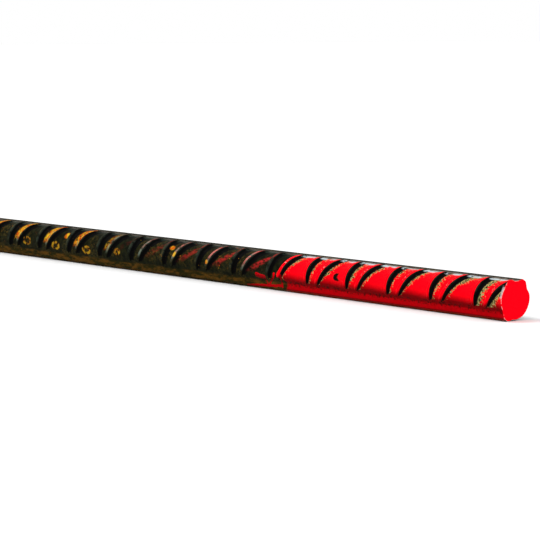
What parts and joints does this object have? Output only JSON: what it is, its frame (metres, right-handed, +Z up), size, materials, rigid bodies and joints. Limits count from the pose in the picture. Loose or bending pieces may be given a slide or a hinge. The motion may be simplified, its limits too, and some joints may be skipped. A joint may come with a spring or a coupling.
{
  "type": "ribbed reinforcing bar",
  "caption": "Straight hot-rolled steel bar with slanting crescent ribs in two rows, a longitudinal rib between the rows, square-cut ends and one end sprayed red.",
  "frame": {"origin": "on the floor under the middle of the bar, midway between its ends and its sides", "axes": "+X along the bar towards the painted end, +Z up, -Y towards the side whose row of ribs faces upwards"},
  "size_m": [1, 0.013, 0.0121],
  "materials": {
    "steel": "matte"
  },
  "bodies": {
    "root": {"bar": "steel"}
  },
  "joints": []
}
